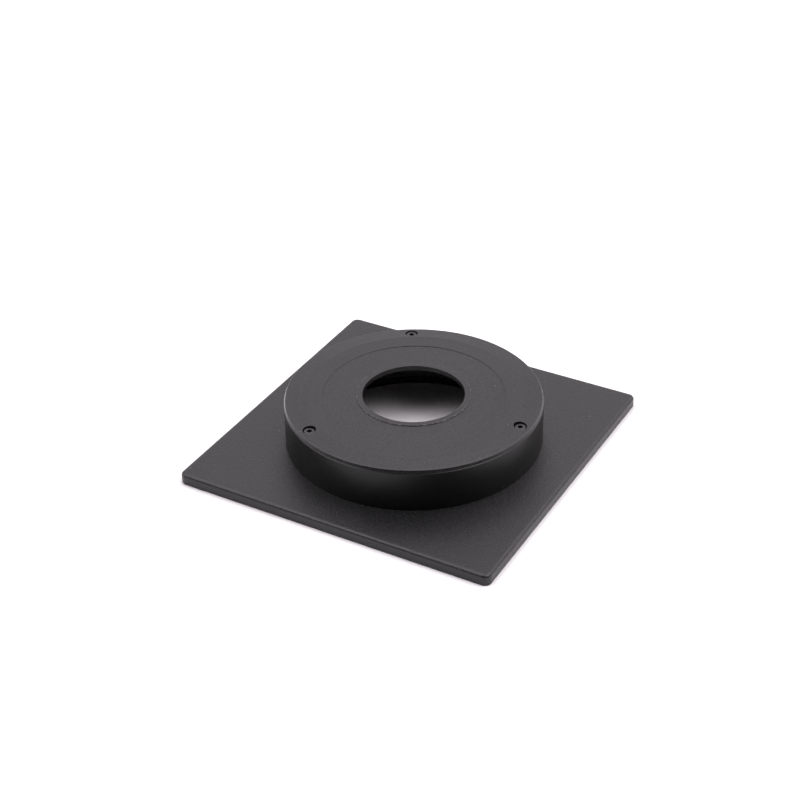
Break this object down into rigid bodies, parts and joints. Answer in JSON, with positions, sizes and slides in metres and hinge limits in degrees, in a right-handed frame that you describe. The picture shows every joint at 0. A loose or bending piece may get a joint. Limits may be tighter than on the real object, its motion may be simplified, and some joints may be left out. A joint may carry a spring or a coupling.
{
  "type": "raised lens board",
  "caption": "Square view-camera lens board with a round raised drum, a turned front plate held by sunk cap screws, and a round bore with a seat for a leaf shutter.",
  "frame": {"origin": "centre of the square board's flat rear face", "axes": "+Z through the bore towards the front of the board, +X and +Y along the board's edges, plate screw 1 on +X"},
  "size_m": [0.14, 0.14, 0.0245],
  "materials": {
    "board_paint": "matte",
    "drum_anodised": "satin",
    "plate_turned": "matte",
    "screw_oxide": "satin"
  },
  "bodies": {
    "board": {"lens_board": "board_paint", "drum": "drum_anodised", "drum_screw_1": "screw_oxide", "drum_screw_2": "screw_oxide", "drum_screw_3": "screw_oxide", "drum_screw_4": "screw_oxide", "drum_screw_5": "screw_oxide", "drum_screw_6": "screw_oxide"},
    "plate": {"front_plate": "plate_turned"},
    "screw_1": {"plate_screw_1": "screw_oxide"},
    "screw_2": {"plate_screw_2": "screw_oxide"},
    "screw_3": {"plate_screw_3": "screw_oxide"}
  },
  "joints": [
    {"name": "plate_lift", "type": "slide", "parent": "board", "child": "plate", "axis": [0, 0, 1], "range_m": [0, 0.03]},
    {"name": "screw_1_out", "type": "slide", "parent": "plate", "child": "screw_1", "axis": [0, 0, 1], "range_m": [0, 0.012]},
    {"name": "screw_2_out", "type": "slide", "parent": "plate", "child": "screw_2", "axis": [0, 0, 1], "range_m": [0, 0.012]},
    {"name": "screw_3_out", "type": "slide", "parent": "plate", "child": "screw_3", "axis": [0, 0, 1], "range_m": [0, 0.012]}
  ]
}
